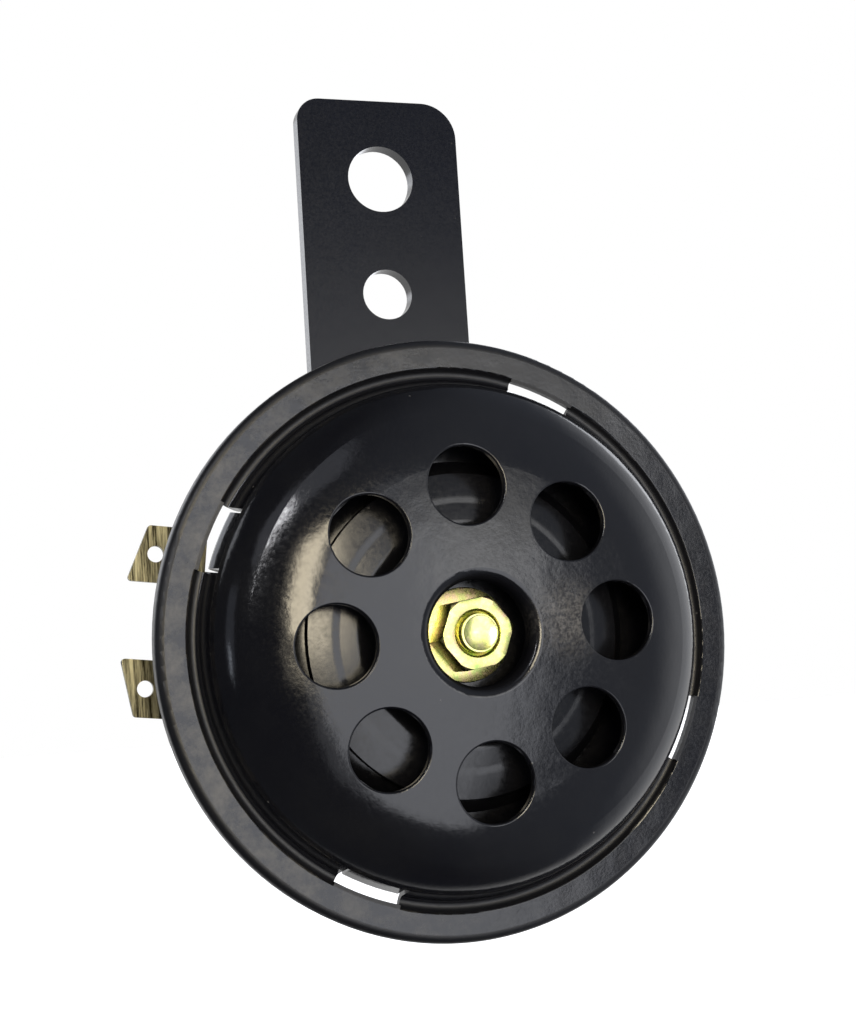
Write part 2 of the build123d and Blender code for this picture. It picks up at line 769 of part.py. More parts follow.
# Breaker's bracket: a strip bent to a C, with its foot on the shelf
platform = -breaker_platform
across_plane = Plane(
    origin=breaker_plane.origin + breaker_plane.x_dir * breaker_inner,
    x_dir=breaker_plane.y_dir,
    z_dir=breaker_plane.x_dir,
)
with BuildPart() as breaker_bracket:
    with BuildSketch(across_plane):
        with BuildLine() as bent:
            half = breaker_half_width
            inner = breaker_sheet - half
            Polyline(
                (half, shelf_front), (-half, shelf_front), (-half, platform), (half, platform),
                (half, platform - breaker_sheet), (inner, platform - breaker_sheet),
                (inner, shelf_front + breaker_sheet), (half, shelf_front + breaker_sheet), close=True,
            )
            fillet(corners_at(bent, -half, shelf_front), breaker_bend)
            fillet(corners_at(bent, -half, platform), breaker_bend)
        make_face()
    extrude(amount=breaker_depth)
    hole = spot(breaker_plane.offset(platform - breaker_sheet), breaker_radius, 0, breaker_rivet + fit)
    extrude(hole, amount=breaker_sheet, mode=Mode.SUBTRACT)
breaker_bracket.part.label = "breaker_bracket"
export_step(breaker_bracket.part, "parts/breaker_bracket.step")

# Heights of the breaker's sandwich, from the bracket's platform forward
leaf_rear = platform + plate_insulator
leaf_front = leaf_rear + leaf_thickness
arm_rear = leaf_front + middle_insulator
arm_front = arm_rear + fixed_arm_thickness
sandwich_front = arm_front + plate_insulator
hub_hole = insulator_hub + fit


def insulator_plate(rear):
    """The outline of one insulator, on a plane across the axis, without its hole."""
    half = insulator_width / 2
    return plate(breaker_plane.offset(rear), breaker_inner, breaker_outer, -half, half)


def rivet_hole(rear, depth):
    """Cut the breaker rivet's hole through the part being built."""
    hole = spot(breaker_plane.offset(rear), breaker_radius, 0, breaker_rivet + fit)
    extrude(hole, amount=depth, mode=Mode.SUBTRACT)


for name, rear in (("breaker_insulator_rear", platform), ("breaker_insulator_front", arm_front)):
    with BuildPart() as insulator:
        extrude(insulator_plate(rear), amount=plate_insulator)
        rivet_hole(rear, plate_insulator)
    insulator.part.label = name
    export_step(insulator.part, "parts/" + name + ".step")

# The middle insulator has a hub each side that keeps both arms off the rivet
with BuildPart() as breaker_insulator_middle:
    extrude(insulator_plate(leaf_front), amount=middle_insulator)
    hub = spot(breaker_plane.offset(leaf_rear), breaker_radius, 0, insulator_hub)
    extrude(hub, amount=arm_front - leaf_rear)
    rivet_hole(leaf_rear, arm_front - leaf_rear)
breaker_insulator_middle.part.label = "breaker_insulator_middle"
export_step(breaker_insulator_middle.part, "parts/breaker_insulator_middle.step")

# Fixed contact arm, with an ear over the adjusting screw, and its contact
with BuildPart() as fixed_contact_arm:
    half = fixed_arm_width / 2
    ear_end = screw_across + screw_pad
    with BuildSketch(breaker_plane.offset(arm_rear)):
        arm_tip = contact_along - arm_overhang
        with Locations(((arm_tip + breaker_outer) / 2, 0)):
            Rectangle(breaker_outer - arm_tip, fixed_arm_width)
        with Locations((screw_along, ear_end / 2)):
            Rectangle(2 * screw_pad, ear_end)
        with Locations((breaker_radius, 0)):
            Circle(hub_hole, mode=Mode.SUBTRACT)
        with Locations((contact_along, 0)):
            Circle(contact_shank + fit, mode=Mode.SUBTRACT)
    extrude(amount=fixed_arm_thickness)
fixed_contact_arm.part.label = "fixed_contact_arm"
export_step(fixed_contact_arm.part, "parts/fixed_contact_arm.step")

contact_face = arm_rear - (middle_insulator - contact_split)
with BuildPart() as fixed_contact:
    place = (contact_along, 0)
    extrude(spot(breaker_plane.offset(contact_face), *place, contact_radius), amount=arm_rear - contact_face)
    extrude(spot(breaker_plane.offset(arm_rear), *place, contact_shank), amount=fixed_arm_thickness)
    extrude(spot(breaker_plane.offset(arm_front), *place, contact_tail), amount=contact_tail_height)
fixed_contact.part.label = "fixed_contact"
export_step(fixed_contact.part, "parts/fixed_contact.step")

# Moving contact arm: a spring leaf that the armature pushes, with its contact and button
with BuildPart() as moving_contact_arm:
    with BuildSketch(breaker_plane.offset(leaf_rear)):
        leaf_tip = button_along - arm_overhang
        with Locations(((leaf_tip + breaker_outer) / 2, 0)):
            Rectangle(breaker_outer - leaf_tip, leaf_width)
        with Locations((breaker_radius, 0)):
            Circle(hub_hole, mode=Mode.SUBTRACT)
        with Locations((contact_along, 0), (button_along, 0)):
            Circle(contact_shank + fit, mode=Mode.SUBTRACT)
    extrude(amount=leaf_thickness)
moving_contact_arm.part.label = "moving_contact_arm"
export_step(moving_contact_arm.part, "parts/moving_contact_arm.step")

for name, along, radius, front in (
    ("moving_contact", contact_along, contact_radius, contact_face),
    ("contact_button", button_along, button_radius, plate_rear - button_gap),
):
    with BuildPart() as stop:
        extrude(spot(breaker_plane.offset(leaf_front), along, 0, radius), amount=front - leaf_front)
        extrude(spot(breaker_plane.offset(leaf_rear), along, 0, contact_shank), amount=leaf_thickness)
        tail = spot(breaker_plane.offset(leaf_rear), along, 0, contact_tail)
        extrude(tail, amount=-contact_tail_height / 2)
    stop.part.label = name
    export_step(stop.part, "parts/" + name + ".step")

# Rivet through the bracket and the sandwich
with BuildPart() as breaker_rivet_pin:
    place = (breaker_radius, 0)
    pin_rear = platform - breaker_sheet
    shank = spot(breaker_plane.offset(pin_rear), *place, breaker_rivet)
    extrude(shank, amount=sandwich_front - pin_rear)
    head = spot(breaker_plane.offset(pin_rear), *place, breaker_rivet_head)
    extrude(head, amount=-breaker_rivet_height)
    head = spot(breaker_plane.offset(sandwich_front), *place, breaker_rivet_head)
    extrude(head, amount=breaker_rivet_height)
breaker_rivet_pin.part.label = "breaker_rivet_pin"
export_step(breaker_rivet_pin.part, "parts/breaker_rivet_pin.step")

# Adjusting screw: slotted at the rear, its tip under the fixed arm's ear, with a lock nut
with BuildPart() as adjusting_screw:
    shank = spot(breaker_plane.offset(-screw_rear), *screw_place, screw_radius)
    extrude(shank, amount=arm_rear + screw_rear)
    with BuildSketch(breaker_plane.offset(-screw_rear)):
        with Locations(screw_place):
            Rectangle(2 * screw_radius + cut_margin, screw_slot)
    extrude(amount=screw_slot_depth, mode=Mode.SUBTRACT)
adjusting_screw.part.label = "adjusting_screw"
export_step(adjusting_screw.part, "parts/adjusting_screw.step")

with BuildPart() as lock_nut:
    with BuildSketch(breaker_plane.offset(shelf_rear - lock_nut_height)):
        with Locations(screw_place):
            RegularPolygon(lock_nut_flats / 2, 6, major_radius=False)
            Circle(screw_radius + fit, mode=Mode.SUBTRACT)
    extrude(amount=lock_nut_height)
    chamfer(lock_nut.faces().sort_by(Axis.Y)[-1].outer_wire().edges(), lock_nut_chamfer)
lock_nut.part.label = "lock_nut"
export_step(lock_nut.part, "parts/lock_nut.step")
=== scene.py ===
import bpy
import math
from mathutils import Matrix, Vector


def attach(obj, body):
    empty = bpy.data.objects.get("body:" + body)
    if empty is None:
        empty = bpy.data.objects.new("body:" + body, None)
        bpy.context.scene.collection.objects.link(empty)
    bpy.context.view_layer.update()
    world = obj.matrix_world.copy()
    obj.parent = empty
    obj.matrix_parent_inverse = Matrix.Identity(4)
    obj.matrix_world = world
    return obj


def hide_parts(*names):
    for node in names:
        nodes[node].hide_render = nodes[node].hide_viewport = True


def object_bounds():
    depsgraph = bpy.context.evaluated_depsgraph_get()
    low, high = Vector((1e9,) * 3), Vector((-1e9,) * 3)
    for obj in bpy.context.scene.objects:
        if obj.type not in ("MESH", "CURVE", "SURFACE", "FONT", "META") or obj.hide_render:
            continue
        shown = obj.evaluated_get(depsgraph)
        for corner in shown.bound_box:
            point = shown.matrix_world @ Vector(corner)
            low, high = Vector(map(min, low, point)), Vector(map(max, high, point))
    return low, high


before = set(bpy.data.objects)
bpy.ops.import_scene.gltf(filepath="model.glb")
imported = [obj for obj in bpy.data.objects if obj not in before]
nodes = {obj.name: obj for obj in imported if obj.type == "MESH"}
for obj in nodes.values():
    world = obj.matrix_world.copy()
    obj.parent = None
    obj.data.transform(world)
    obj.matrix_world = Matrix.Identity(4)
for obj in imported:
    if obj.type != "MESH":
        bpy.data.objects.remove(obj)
cad_box = [list(corner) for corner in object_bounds()]
scene = bpy.context.scene
scene.view_settings.view_transform = "Standard"

# The camera stands in front of the horn, a little to its left, and looks slightly up at it.
# It is rolled by a few degrees, as a hand-held camera is.
MM = 0.001
camera_place = Vector((-56.52, -182.03, -58.93)) * MM
camera_heading = math.radians(-18.38)
camera_pitch = math.radians(95.66)
camera_roll = math.radians(-3.65)
camera_data = bpy.data.cameras.new("camera")
camera_data.lens = 56.97
camera_data.sensor_width = 36.0
camera_data.clip_start = 0.005
camera = bpy.data.objects.new("camera", camera_data)
camera.matrix_world = (
    Matrix.Translation(camera_place)
    @ Matrix.Rotation(camera_heading, 4, "Z")
    @ Matrix.Rotation(camera_pitch, 4, "X")
    @ Matrix.Rotation(camera_roll, 4, "Z")
)
scene.collection.objects.link(camera)
scene.camera = camera


def linear(hex_colour):
    """A colour written as an sRGB hex value, as the linear numbers that a shader takes."""
    parts = [int(hex_colour[i:i + 2], 16) / 255 for i in (1, 3, 5)]
    return [p / 12.92 if p <= 0.04045 else ((p + 0.055) / 1.055) ** 2.4 for p in parts] + [1.0]


def add(tree, kind, settings=None, **inputs):
    """One node with its settings, its input values and its incoming links.

    An input is named as in Blender, with _ for a space, or by its number, as i0 or i1.
    """
    node = tree.nodes.new(kind)
    for name, value in (settings or {}).items():
        setattr(node, name, value)
    for name, value in inputs.items():
        key = int(name[1:]) if name[0] == "i" and name[1:].isdigit() else name.replace("_", " ")
        if isinstance(value, bpy.types.NodeSocket):
            tree.links.new(value, node.inputs[key])
        else:
            node.inputs[key].default_value = value
    return node


# The room: a white card stands behind the horn and reaches round its right side, and the rest of
# the room is dim and bluish. The camera sees white all round, as in a cut-out picture, and
# reflections see the card's white where it stands.
world = bpy.data.worlds.new("white_card_room")
scene.world = world
world.use_nodes = True
sky = world.node_tree
sky.nodes.clear()
direction = add(sky, "ShaderNodeTexCoord").outputs["Generated"]
card_side = (0.978, 0.206, 0.0)
towards_card = add(sky, "ShaderNodeVectorMath", {"operation": "DOT_PRODUCT"}, i0=direction, i1=card_side)
card = add(
    sky, "ShaderNodeMapRange", {"interpolation_type": "SMOOTHSTEP"}, Value=towards_card.outputs["Value"],
    From_Min=0.6, From_Max=1.0, To_Min=0.0, To_Max=1.1,
)
glow_side = (0.885, -0.417, 0.208)
towards_glow = add(sky, "ShaderNodeVectorMath", {"operation": "DOT_PRODUCT"}, i0=direction, i1=glow_side)
glow = add(
    sky, "ShaderNodeMapRange", {"interpolation_type": "SMOOTHSTEP"}, Value=towards_glow.outputs["Value"],
    From_Min=0.0, From_Max=1.0, To_Min=0.06, To_Max=0.45,
)
card_light = add(sky, "ShaderNodeBackground", Color=linear("#ffffff"), Strength=card.outputs["Result"])
room_light = add(sky, "ShaderNodeBackground", Color=linear("#e2ebff"), Strength=glow.outputs["Result"])
room = add(sky, "ShaderNodeAddShader", i0=card_light.outputs["Background"], i1=room_light.outputs["Background"])
rays = add(sky, "ShaderNodeLightPath")
straight = add(
    sky, "ShaderNodeMath", {"operation": "MAXIMUM"},
    i0=rays.outputs["Is Camera Ray"], i1=rays.outputs["Is Transmission Ray"],
)
card_middle = (0.25, 0.95, -0.18)
towards_middle = add(sky, "ShaderNodeVectorMath", {"operation": "DOT_PRODUCT"}, i0=direction, i1=card_middle)
card_edge = add(
    sky, "ShaderNodeMapRange", {"interpolation_type": "SMOOTHSTEP"}, Value=towards_middle.outputs["Value"],
    From_Min=0.4, From_Max=0.85, To_Min=0.0, To_Max=1.0,
)
mirrored = add(
    sky, "ShaderNodeMath", {"operation": "MULTIPLY"},
    i0=rays.outputs["Is Glossy Ray"], i1=card_edge.outputs["Result"],
)
seen_white = add(
    sky, "ShaderNodeMath", {"operation": "MAXIMUM"},
    i0=straight.outputs["Value"], i1=mirrored.outputs["Value"],
)
white = add(sky, "ShaderNodeBackground", Color=linear("#ffffff"), Strength=1.0)
shown = add(
    sky, "ShaderNodeMixShader", Fac=seen_white.outputs["Value"],
    i1=room.outputs["Shader"], i2=white.outputs["Background"],
)
add(sky, "ShaderNodeOutputWorld", Surface=shown.outputs["Shader"])

# Daylight comes from a window in front, brightest in its upper left corner, from a strip lamp
# high on the left and from the wall above that. Two soft windows light the back.
axis_drop = 55.2
horn_axis = Vector((0.0, -19.2, -axis_drop)) * MM
lamp_distance = 2.0
in_front, behind_horn = -1, 1
# Each lamp: its side, where it stands as seen from the horn (right, up), its long side and short
# side as angles' sines, the turn of its long side in degrees, its radiance and its colour
lamps = (
    ("front_window", in_front, (0.21, -0.15), 0.72, 0.38, 75.0, 2.0, "#f6f8ff"),
    ("window_glow", in_front, (0.16, -0.10), 0.86, 0.56, 75.0, 0.55, "#f6f8ff"),
    ("window_pane", in_front, (0.35, 0.13), 0.26, 0.18, 90.0, 1.2, "#fbf6ea"),
    ("window_core", in_front, (-0.11, 0.16), 0.35, 0.25, 90.0, 13.0, "#fff1d2"),
    ("core_glow", in_front, (-0.13, 0.15), 0.48, 0.40, 90.0, 1.0, "#fff4de"),
    ("left_strip", in_front, (-0.55, 0.43), 0.44, 0.035, 41.0, 36.0, "#fbfbff"),
    ("left_wall", in_front, (-0.45, 0.62), 0.75, 0.28, 0.0, 0.7, "#eef2ff"),
    ("left_lamp", in_front, (-0.99, -0.05), 0.16, 0.10, 90.0, 2.4, "#eaf2ff"),
    ("left_glow", in_front, (-0.98, 0.12), 0.45, 0.30, 90.0, 0.4, "#e4ecff"),
    ("rear_left_window", behind_horn, (-0.55, 0.42), 0.80, 0.70, 0.0, 1.6, "#f4f7ff"),
    ("rear_right_window", behind_horn, (0.60, 0.30), 0.80, 0.80, 0.0, 1.6, "#f4f7ff"),
)
for name, side, (right, up), long_side, short_side, turn, radiance, colour in lamps:
    towards = Vector((right, side * math.sqrt(1 - right**2 - up**2), up))
    along = Vector((math.cos(math.radians(turn)), 0, math.sin(math.radians(turn))))
    across = towards.cross(along).normalized()
    along = across.cross(towards)
    lamp_data = bpy.data.lights.new(name, "AREA")
    lamp_data.shape = "RECTANGLE"
    lamp_data.size = long_side * lamp_distance
    lamp_data.size_y = short_side * lamp_distance
    lamp_data.energy = radiance * math.pi * lamp_data.size * lamp_data.size_y
    lamp_data.color = linear(colour)[:3]
    lamp = bpy.data.objects.new(name, lamp_data)
    pose = Matrix((along, across, towards)).transposed().to_4x4()
    lamp.matrix_world = Matrix.Translation(horn_axis + towards * lamp_distance) @ pose
    lamp.visible_camera = False
    scene.collection.objects.link(lamp)

# The floor is the same white card. Part of its white is its own, so that the camera sees it
# as white, and the rest is the room's light, which the horn's shadow takes away.
floor_gap = 0.03
floor_size = 3.0
floor_own_white = 0.86
bpy.ops.object.select_all(action="DESELECT")
bpy.ops.mesh.primitive_plane_add(size=floor_size, location=(0, 0, cad_box[0][2] - floor_gap))
floor = bpy.context.object
floor.name = "floor"
floor.visible_glossy = False
floor.visible_shadow = False
paper = bpy.data.materials.new("white_card")
paper.use_nodes = True
tree = paper.node_tree
tree.nodes.clear()
seen = add(tree, "ShaderNodeLightPath").outputs["Is Camera Ray"]
own_white = add(tree, "ShaderNodeMath", {"operation": "MULTIPLY"}, i0=seen, i1=floor_own_white)
own = add(tree, "ShaderNodeEmission", Strength=own_white.outputs["Value"])
plain = add(tree, "ShaderNodeBsdfDiffuse", Color=linear("#f4f4f4"))
card_face = add(tree, "ShaderNodeAddShader", i0=plain.outputs["BSDF"], i1=own.outputs["Emission"])
add(tree, "ShaderNodeOutputMaterial", Surface=card_face.outputs["Shader"])
floor.data.materials.append(paper)


def dress(material, *names):
    """Give CAD nodes a material."""
    for name in names:
        slots = nodes[name].data.materials
        if len(slots) == 0:
            slots.append(material)
        for index in range(len(slots)):
            slots[index] = material


def new_material(name):
    """An empty material with its node tree, its principled shader and object coordinates in mm."""
    material = bpy.data.materials.new(name)
    material.use_nodes = True
    tree = material.node_tree
    tree.nodes.clear()
    shader = add(tree, "ShaderNodeBsdfPrincipled")
    add(tree, "ShaderNodeOutputMaterial", Surface=shader.outputs["BSDF"])
    place = add(tree, "ShaderNodeTexCoord").outputs["Object"]
    in_mm = add(
        tree, "ShaderNodeVectorMath", {"operation": "SCALE", "name": "millimetres"}, Vector=place, Scale=1 / MM,
    )
    return material, tree, shader, in_mm.outputs["Vector"]


def reopen(material):
    """A finished material's node tree, shader and coordinates in mm, for one more feature on it."""
    tree = material.node_tree
    return tree, tree.nodes["Principled BSDF"], tree.nodes["millimetres"].outputs["Vector"]


# Housing: a can pressed from sheet steel, dipped in black enamel and stoved, with its rim rolled
# over the diaphragm. The enamel is satin with a fine orange peel, so that highlights break into
# small grains, and a few specks of dust are baked into it.
def enamel(name, colour, pale, roughness, peel_mm, peel_height, dust):
    """Stoved enamel: peel_mm is the grain of its orange peel, and peel_height its relief in mm."""
    material, tree, shader, mm = new_material(name)
    cloud_mm = 11.11
    cloud = add(tree, "ShaderNodeTexNoise", Vector=mm, Scale=1 / cloud_mm, Detail=4.0, Roughness=0.65)
    cloudy = add(tree, "ShaderNodeMapRange", Value=cloud.outputs["Fac"], From_Min=0.35, From_Max=0.7)
    tint = add(
        tree, "ShaderNodeMix", {"data_type": "RGBA"},
        Factor=cloudy.outputs["Result"], A=linear(colour), B=linear(pale),
    )
    # Specks are a quarter of a millimetre across. One cell in five of 2.4 mm holds one
    speck_cell_mm = 2.381
    cells = add(
        tree, "ShaderNodeTexVoronoi", {"feature": "F1"}, Vector=mm, Scale=1 / speck_cell_mm, Randomness=1.0,
    )
    speck = add(
        tree, "ShaderNodeMapRange", Value=cells.outputs["Distance"],
        From_Min=0.055, From_Max=0.035, To_Min=0.0, To_Max=dust,
    )
    cell_mark = add(tree, "ShaderNodeSeparateColor", Color=cells.outputs["Color"])
    chosen = add(tree, "ShaderNodeMath", {"operation": "GREATER_THAN"}, i0=cell_mark.outputs["Red"], i1=0.8)
    speck_here = add(
        tree, "ShaderNodeMath", {"operation": "MULTIPLY"},
        i0=speck.outputs["Result"], i1=chosen.outputs["Value"],
    )
    dusty = add(
        tree, "ShaderNodeMix", {"data_type": "RGBA"},
        Factor=speck_here.outputs["Value"], A=tint.outputs["Result"], B=linear("#8d8a84"),
    )
    tree.links.new(dusty.outputs["Result"], shader.inputs["Base Color"])
    peel = add(tree, "ShaderNodeTexNoise", Vector=mm, Scale=1 / peel_mm, Detail=3.0, Roughness=0.6)
    gloss = add(
        tree, "ShaderNodeMapRange", Value=peel.outputs["Fac"], From_Min=0.3, From_Max=0.7,
        To_Min=roughness - 0.05, To_Max=roughness + 0.06,
    )
    tree.links.new(gloss.outputs["Result"], shader.inputs["Roughness"])
    # The pressed sheet under the enamel is wavy, about 3 mm from crest to crest
    wave_mm = 3.0
    wave = add(tree, "ShaderNodeTexNoise", Vector=mm, Scale=1 / wave_mm, Detail=1.0, Roughness=0.5)
    waved = add(
        tree, "ShaderNodeBump", Height=wave.outputs["Fac"], Strength=1.0, Distance=4 * peel_height * MM,
    )
    bump = add(
        tree, "ShaderNodeBump", Height=peel.outputs["Fac"], Strength=1.0, Distance=peel_height * MM,
        Normal=waved.outputs["Normal"],
    )
    tree.links.new(bump.outputs["Normal"], shader.inputs["Normal"])
    shader.inputs["IOR"].default_value = 1.5
    return material


dress(enamel(
    "stoved_black_enamel", "#0b0b0f", "#111114", roughness=0.17, peel_mm=0.4, peel_height=0.006, dust=0.4,
), "housing")

# Mounting strip: cut and punched from 2 mm steel strip and enamelled in the same bath. Its
# rolled face is flatter than pressed sheet, so the enamel on it is smooth, bluish and quiet.
strip_enamel = enamel(
    "strip_black_enamel", "#090b13", "#0c0e17", roughness=0.20, peel_mm=0.3, peel_height=0.002, dust=0.1,
)
strip_enamel.node_tree.nodes["Principled BSDF"].inputs["Specular IOR Level"].default_value = 0.3
dress(strip_enamel, "bracket")


# Core, screws, washers and nuts: turned or pressed steel, zinc plated. The plating is a thin
# crystalline coat, so its gloss is uneven and its passivate drifts from one tint to another.
def plated(name, colour, cast, other_cast, roughness, grain_mm):
    """Plated or bare metal: its colour drifts to two casts, and grain_mm is the grain of its gloss."""
    material, tree, shader, mm = new_material(name)
    drift_mm = 1.25
    drift = add(tree, "ShaderNodeTexNoise", Vector=mm, Scale=1 / drift_mm, Detail=4.0, Roughness=0.7)
    steps = add(tree, "ShaderNodeValToRGB", Fac=drift.outputs["Fac"])
    ramp = steps.color_ramp
    ramp.elements[0].position = 0.32
    ramp.elements[0].color = linear(cast)
    ramp.elements[1].position = 0.68
    ramp.elements[1].color = linear(other_cast)
    middle = ramp.elements.new(0.5)
    middle.color = linear(colour)
    tree.links.new(steps.outputs["Color"], shader.inputs["Base Color"])
    grain = add(tree, "ShaderNodeTexNoise", Vector=mm, Scale=1 / grain_mm, Detail=3.0)
    gloss = add(
        tree, "ShaderNodeMapRange", Value=grain.outputs["Fac"], From_Min=0.3, From_Max=0.7,
        To_Min=roughness - 0.04, To_Max=roughness + 0.04,
    )
    tree.links.new(gloss.outputs["Result"], shader.inputs["Roughness"])
    grain_height = 0.0008
    bump = add(
        tree, "ShaderNodeBump", Height=grain.outputs["Fac"], Strength=1.0, Distance=grain_height * MM,
    )
    tree.links.new(bump.outputs["Normal"], shader.inputs["Normal"])
    shader.inputs["Metallic"].default_value = 1.0
    return material


clear_zinc = plated("clear_zinc_plate", "#b9bcc0", "#aab0b8", "#c3c1ba", roughness=0.30, grain_mm=0.25)
dress(clear_zinc, "bracket_spring_washer", "bracket_nut", "core", "spacer_bush", "adjusting_screw", "lock_nut")

# Armature and the breaker's bracket: bare steel, turned or bent from strip and oiled, so dull
# grey with a soft sheen.
bare_steel = plated("bare_steel", "#8d8b88", "#82817f", "#9a9691", roughness=0.38, grain_mm=0.3)
dress(bare_steel, "armature", "breaker_bracket")

# Contacts: brass rivets and spring arms, unplated and a little tarnished, with small buttons
# of sintered tungsten where the current breaks.
brass = plated("rivet_brass", "#c9a659", "#bd9a50", "#d2b26c", roughness=0.32, grain_mm=0.3)
dress(
    brass, "terminal_rivet_upper", "terminal_rivet_lower", "breaker_rivet_pin", "fixed_contact_arm",
    "moving_contact_arm",
)
tungsten = plated("tungsten", "#8b8d92", "#808288", "#96979a", roughness=0.4, grain_mm=0.2)
dress(tungsten, "fixed_contact", "moving_contact")

# Terminals: tin plate on brass strip. The blades are slit from rolled strip, so dull streaks run
# across them, olive where the tin is thin.
tin_plate, tree, shader, mm = new_material("dull_tin_plate")
terminal_turn = math.radians(7.0)
streak_pitch_mm = 0.45
streak_stretch = (0.1, 0.12)
turned = add(tree, "ShaderNodeMapping", Vector=mm)
turned.inputs["Rotation"].default_value = (0, terminal_turn, 0)
turned.inputs["Scale"].default_value = (1 / streak_pitch_mm, *streak_stretch)
streak = add(tree, "ShaderNodeTexNoise", Vector=turned.outputs["Vector"], Scale=1.0, Detail=5.0, Roughness=0.7)
steps = add(tree, "ShaderNodeValToRGB", Fac=streak.outputs["Fac"])
steps.color_ramp.elements[0].position = 0.4
steps.color_ramp.elements[0].color = linear("#26231a")
steps.color_ramp.elements[1].position = 0.64
steps.color_ramp.elements[1].color = linear("#a9a488")
tree.links.new(steps.outputs["Color"], shader.inputs["Base Color"])
shader.inputs["Metallic"].default_value = 1.0
shader.inputs["Roughness"].default_value = 0.42
streak_height = 0.02
bump = add(tree, "ShaderNodeBump", Height=streak.outputs["Fac"], Strength=1.0, Distance=streak_height * MM)
tree.links.new(bump.outputs["Normal"], shader.inputs["Normal"])
dress(tin_plate, "terminal_upper", "terminal_lower")


# Insulators, gaskets and coil: phenolic paper board, punched fibre sheet, moulded nylon and
# varnished wire. All are matt or nearly so, with a faint mottle.
def insulating(name, colour, pale, roughness, mottle_mm):
    """A matt insulating material: mottle_mm is the size of its paler spots."""
    material, tree, shader, mm = new_material(name)
    mottle = add(tree, "ShaderNodeTexNoise", Vector=mm, Scale=1 / mottle_mm, Detail=4.0)
    tint = add(
        tree, "ShaderNodeMix", {"data_type": "RGBA"},
        Factor=mottle.outputs["Fac"], A=linear(colour), B=linear(pale),
    )
    tree.links.new(tint.outputs["Result"], shader.inputs["Base Color"])
    shader.inputs["Roughness"].default_value = roughness
    mottle_height = 0.02
    bump = add(
        tree, "ShaderNodeBump", Height=mottle.outputs["Fac"], Strength=0.6, Distance=mottle_height * MM,
    )
    tree.links.new(bump.outputs["Normal"], shader.inputs["Normal"])
    return material


dress(
    insulating("phenolic_laminate", "#4a2513", "#6b3a1e", roughness=0.45, mottle_mm=0.6),
    "terminal_board", "terminal_insulator", "breaker_insulator_rear", "breaker_insulator_middle",
    "breaker_insulator_front", "contact_button",
)
dress(
    insulating("vulcanised_fibre", "#5a3a26", "#6d4a34", roughness=0.7, mottle_mm=0.8),
    "front_gasket", "rear_gasket",
)
dress(insulating("moulded_nylon", "#1c1c1c", "#262626", roughness=0.5, mottle_mm=1.0), "coil_bobbin")
dress(insulating("enamelled_copper_wire", "#7c3417", "#9c4a22", roughness=0.35, mottle_mm=0.4), "coil_winding")

# Diaphragm: spring steel, blackened in an oil bath. Seen through the sound holes it is a plain
# dark sheet, smoother than the enamel.
dress(enamel(
    "blackened_steel", "#08080b", "#0c0c0f", roughness=0.20, peel_mm=0.6, peel_height=0.004, dust=0.0,
), "diaphragm")


def radius_in_mm(tree, mm, right=0.0, up=0.0):
    """The distance from the horn's axis, or from a line beside it that is parallel to it."""
    centred = add(
        tree, "ShaderNodeVectorMath", {"operation": "ADD"}, i0=mm, i1=(-right, 0, axis_drop - up),
    )
    flat = add(
        tree, "ShaderNodeVectorMath", {"operation": "MULTIPLY"}, i0=centred.outputs["Vector"], i1=(1, 0, 1),
    )
    return add(
        tree, "ShaderNodeVectorMath", {"operation": "LENGTH"}, i0=flat.outputs["Vector"],
    ).outputs["Value"]


# Centre stud: a rolled and yellow passivated M4 stud. Its end is dished a little off its
# middle by the cropping tool, and threads run round it with a pitch of 0.7 mm.
stud_zinc = plated("rolled_stud_zinc", "#d6d584", "#b4cc74", "#dcd09a", roughness=0.20, grain_mm=0.25)
tree, shader, mm = reopen(stud_zinc)
dish_depth = 0.055
thread_pitch = 0.7
thread_root = 1.8
across = radius_in_mm(tree, mm)
dished = add(
    tree, "ShaderNodeMath", {"operation": "POWER"}, i0=radius_in_mm(tree, mm, right=-0.5, up=0.2), i1=2.0,
)
depth = add(tree, "ShaderNodeMath", {"operation": "MULTIPLY"}, i0=dished.outputs["Value"], i1=dish_depth)
lengthways = add(tree, "ShaderNodeSeparateXYZ", Vector=mm).outputs["Y"]
turns = add(tree, "ShaderNodeMath", {"operation": "PINGPONG"}, i0=lengthways, i1=thread_pitch / 2)
on_side = add(tree, "ShaderNodeMath", {"operation": "GREATER_THAN"}, i0=across, i1=thread_root)
ridges = add(
    tree, "ShaderNodeMath", {"operation": "MULTIPLY"}, i0=turns.outputs["Value"], i1=on_side.outputs["Value"],
)
form = add(tree, "ShaderNodeMath", {"operation": "ADD"}, i0=depth.outputs["Value"], i1=ridges.outputs["Value"])
relief = add(tree, "ShaderNodeBump", Height=form.outputs["Value"], Strength=1.0, Distance=1.0 * MM)
tree.links.new(relief.outputs["Normal"], shader.inputs["Normal"])
dress(stud_zinc, "centre_stud")


def at_height(height):
    """The point on the horn's axis at a height in front of the rim's face."""
    return horn_axis - Vector((0, height * MM, 0))


